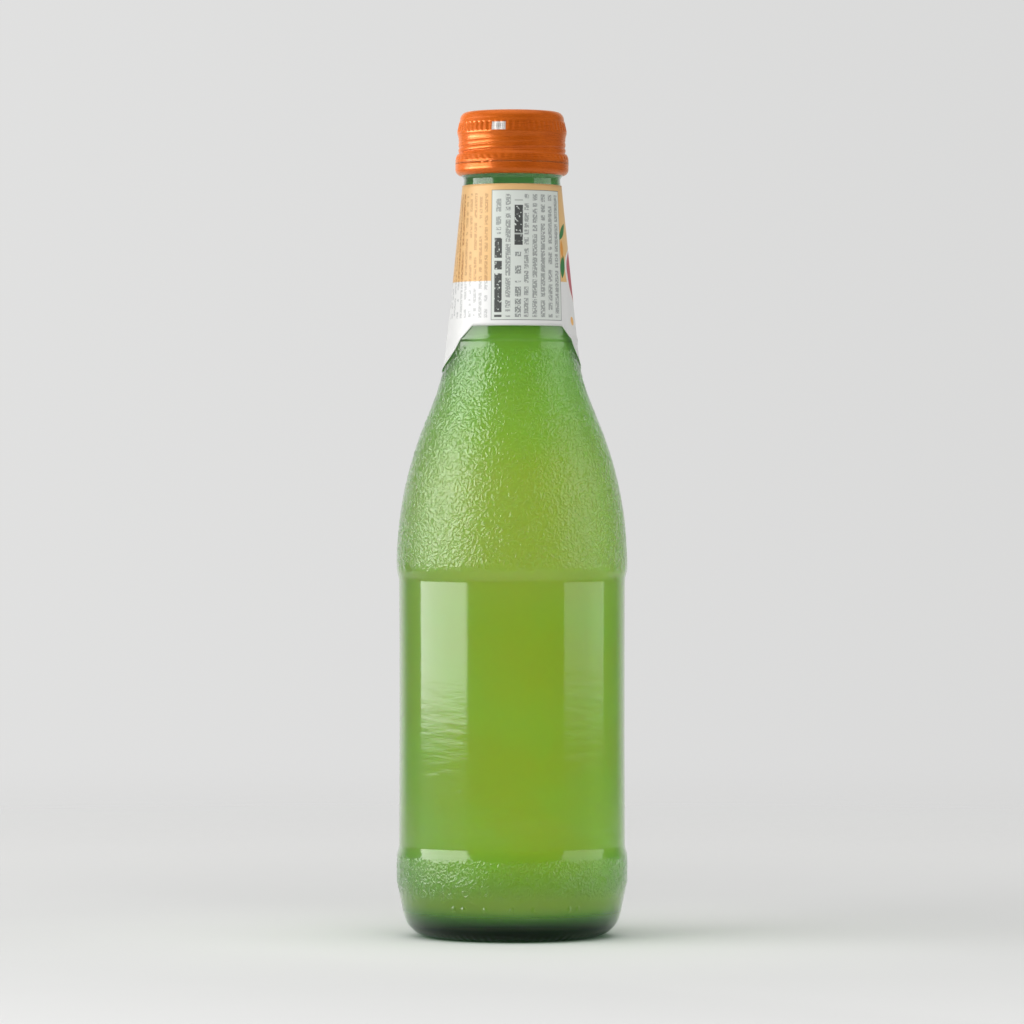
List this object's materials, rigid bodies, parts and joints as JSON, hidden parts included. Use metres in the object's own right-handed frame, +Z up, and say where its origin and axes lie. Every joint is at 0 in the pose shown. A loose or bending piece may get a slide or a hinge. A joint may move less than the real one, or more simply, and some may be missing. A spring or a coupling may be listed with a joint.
{
  "type": "orangeade bottle",
  "caption": "Closed long-neck green glass bottle of cloudy orangeade with a paper neck label and an orange metal screw cap, standing upright.",
  "frame": {"origin": "middle of the standing ring, on the surface the bottle stands on", "axes": "+Z up along the bottle's axis, -Y towards the middle of the label's plain back, +Y towards its picture side, +X to the right when the back faces the viewer"},
  "size_m": [0.0614, 0.0614, 0.2186],
  "materials": {
    "green_glass": "gloss, pebbled on shoulder and foot band",
    "drink": "cloudy liquid",
    "label_paper": "coated paper, satin",
    "orange_lacquer": "satin orange lacquer on aluminium"
  },
  "bodies": {
    "root": {"glass_bottle": "green_glass", "orangeade": "drink", "neck_label": "label_paper", "screw_cap": "orange_lacquer"}
  },
  "joints": []
}
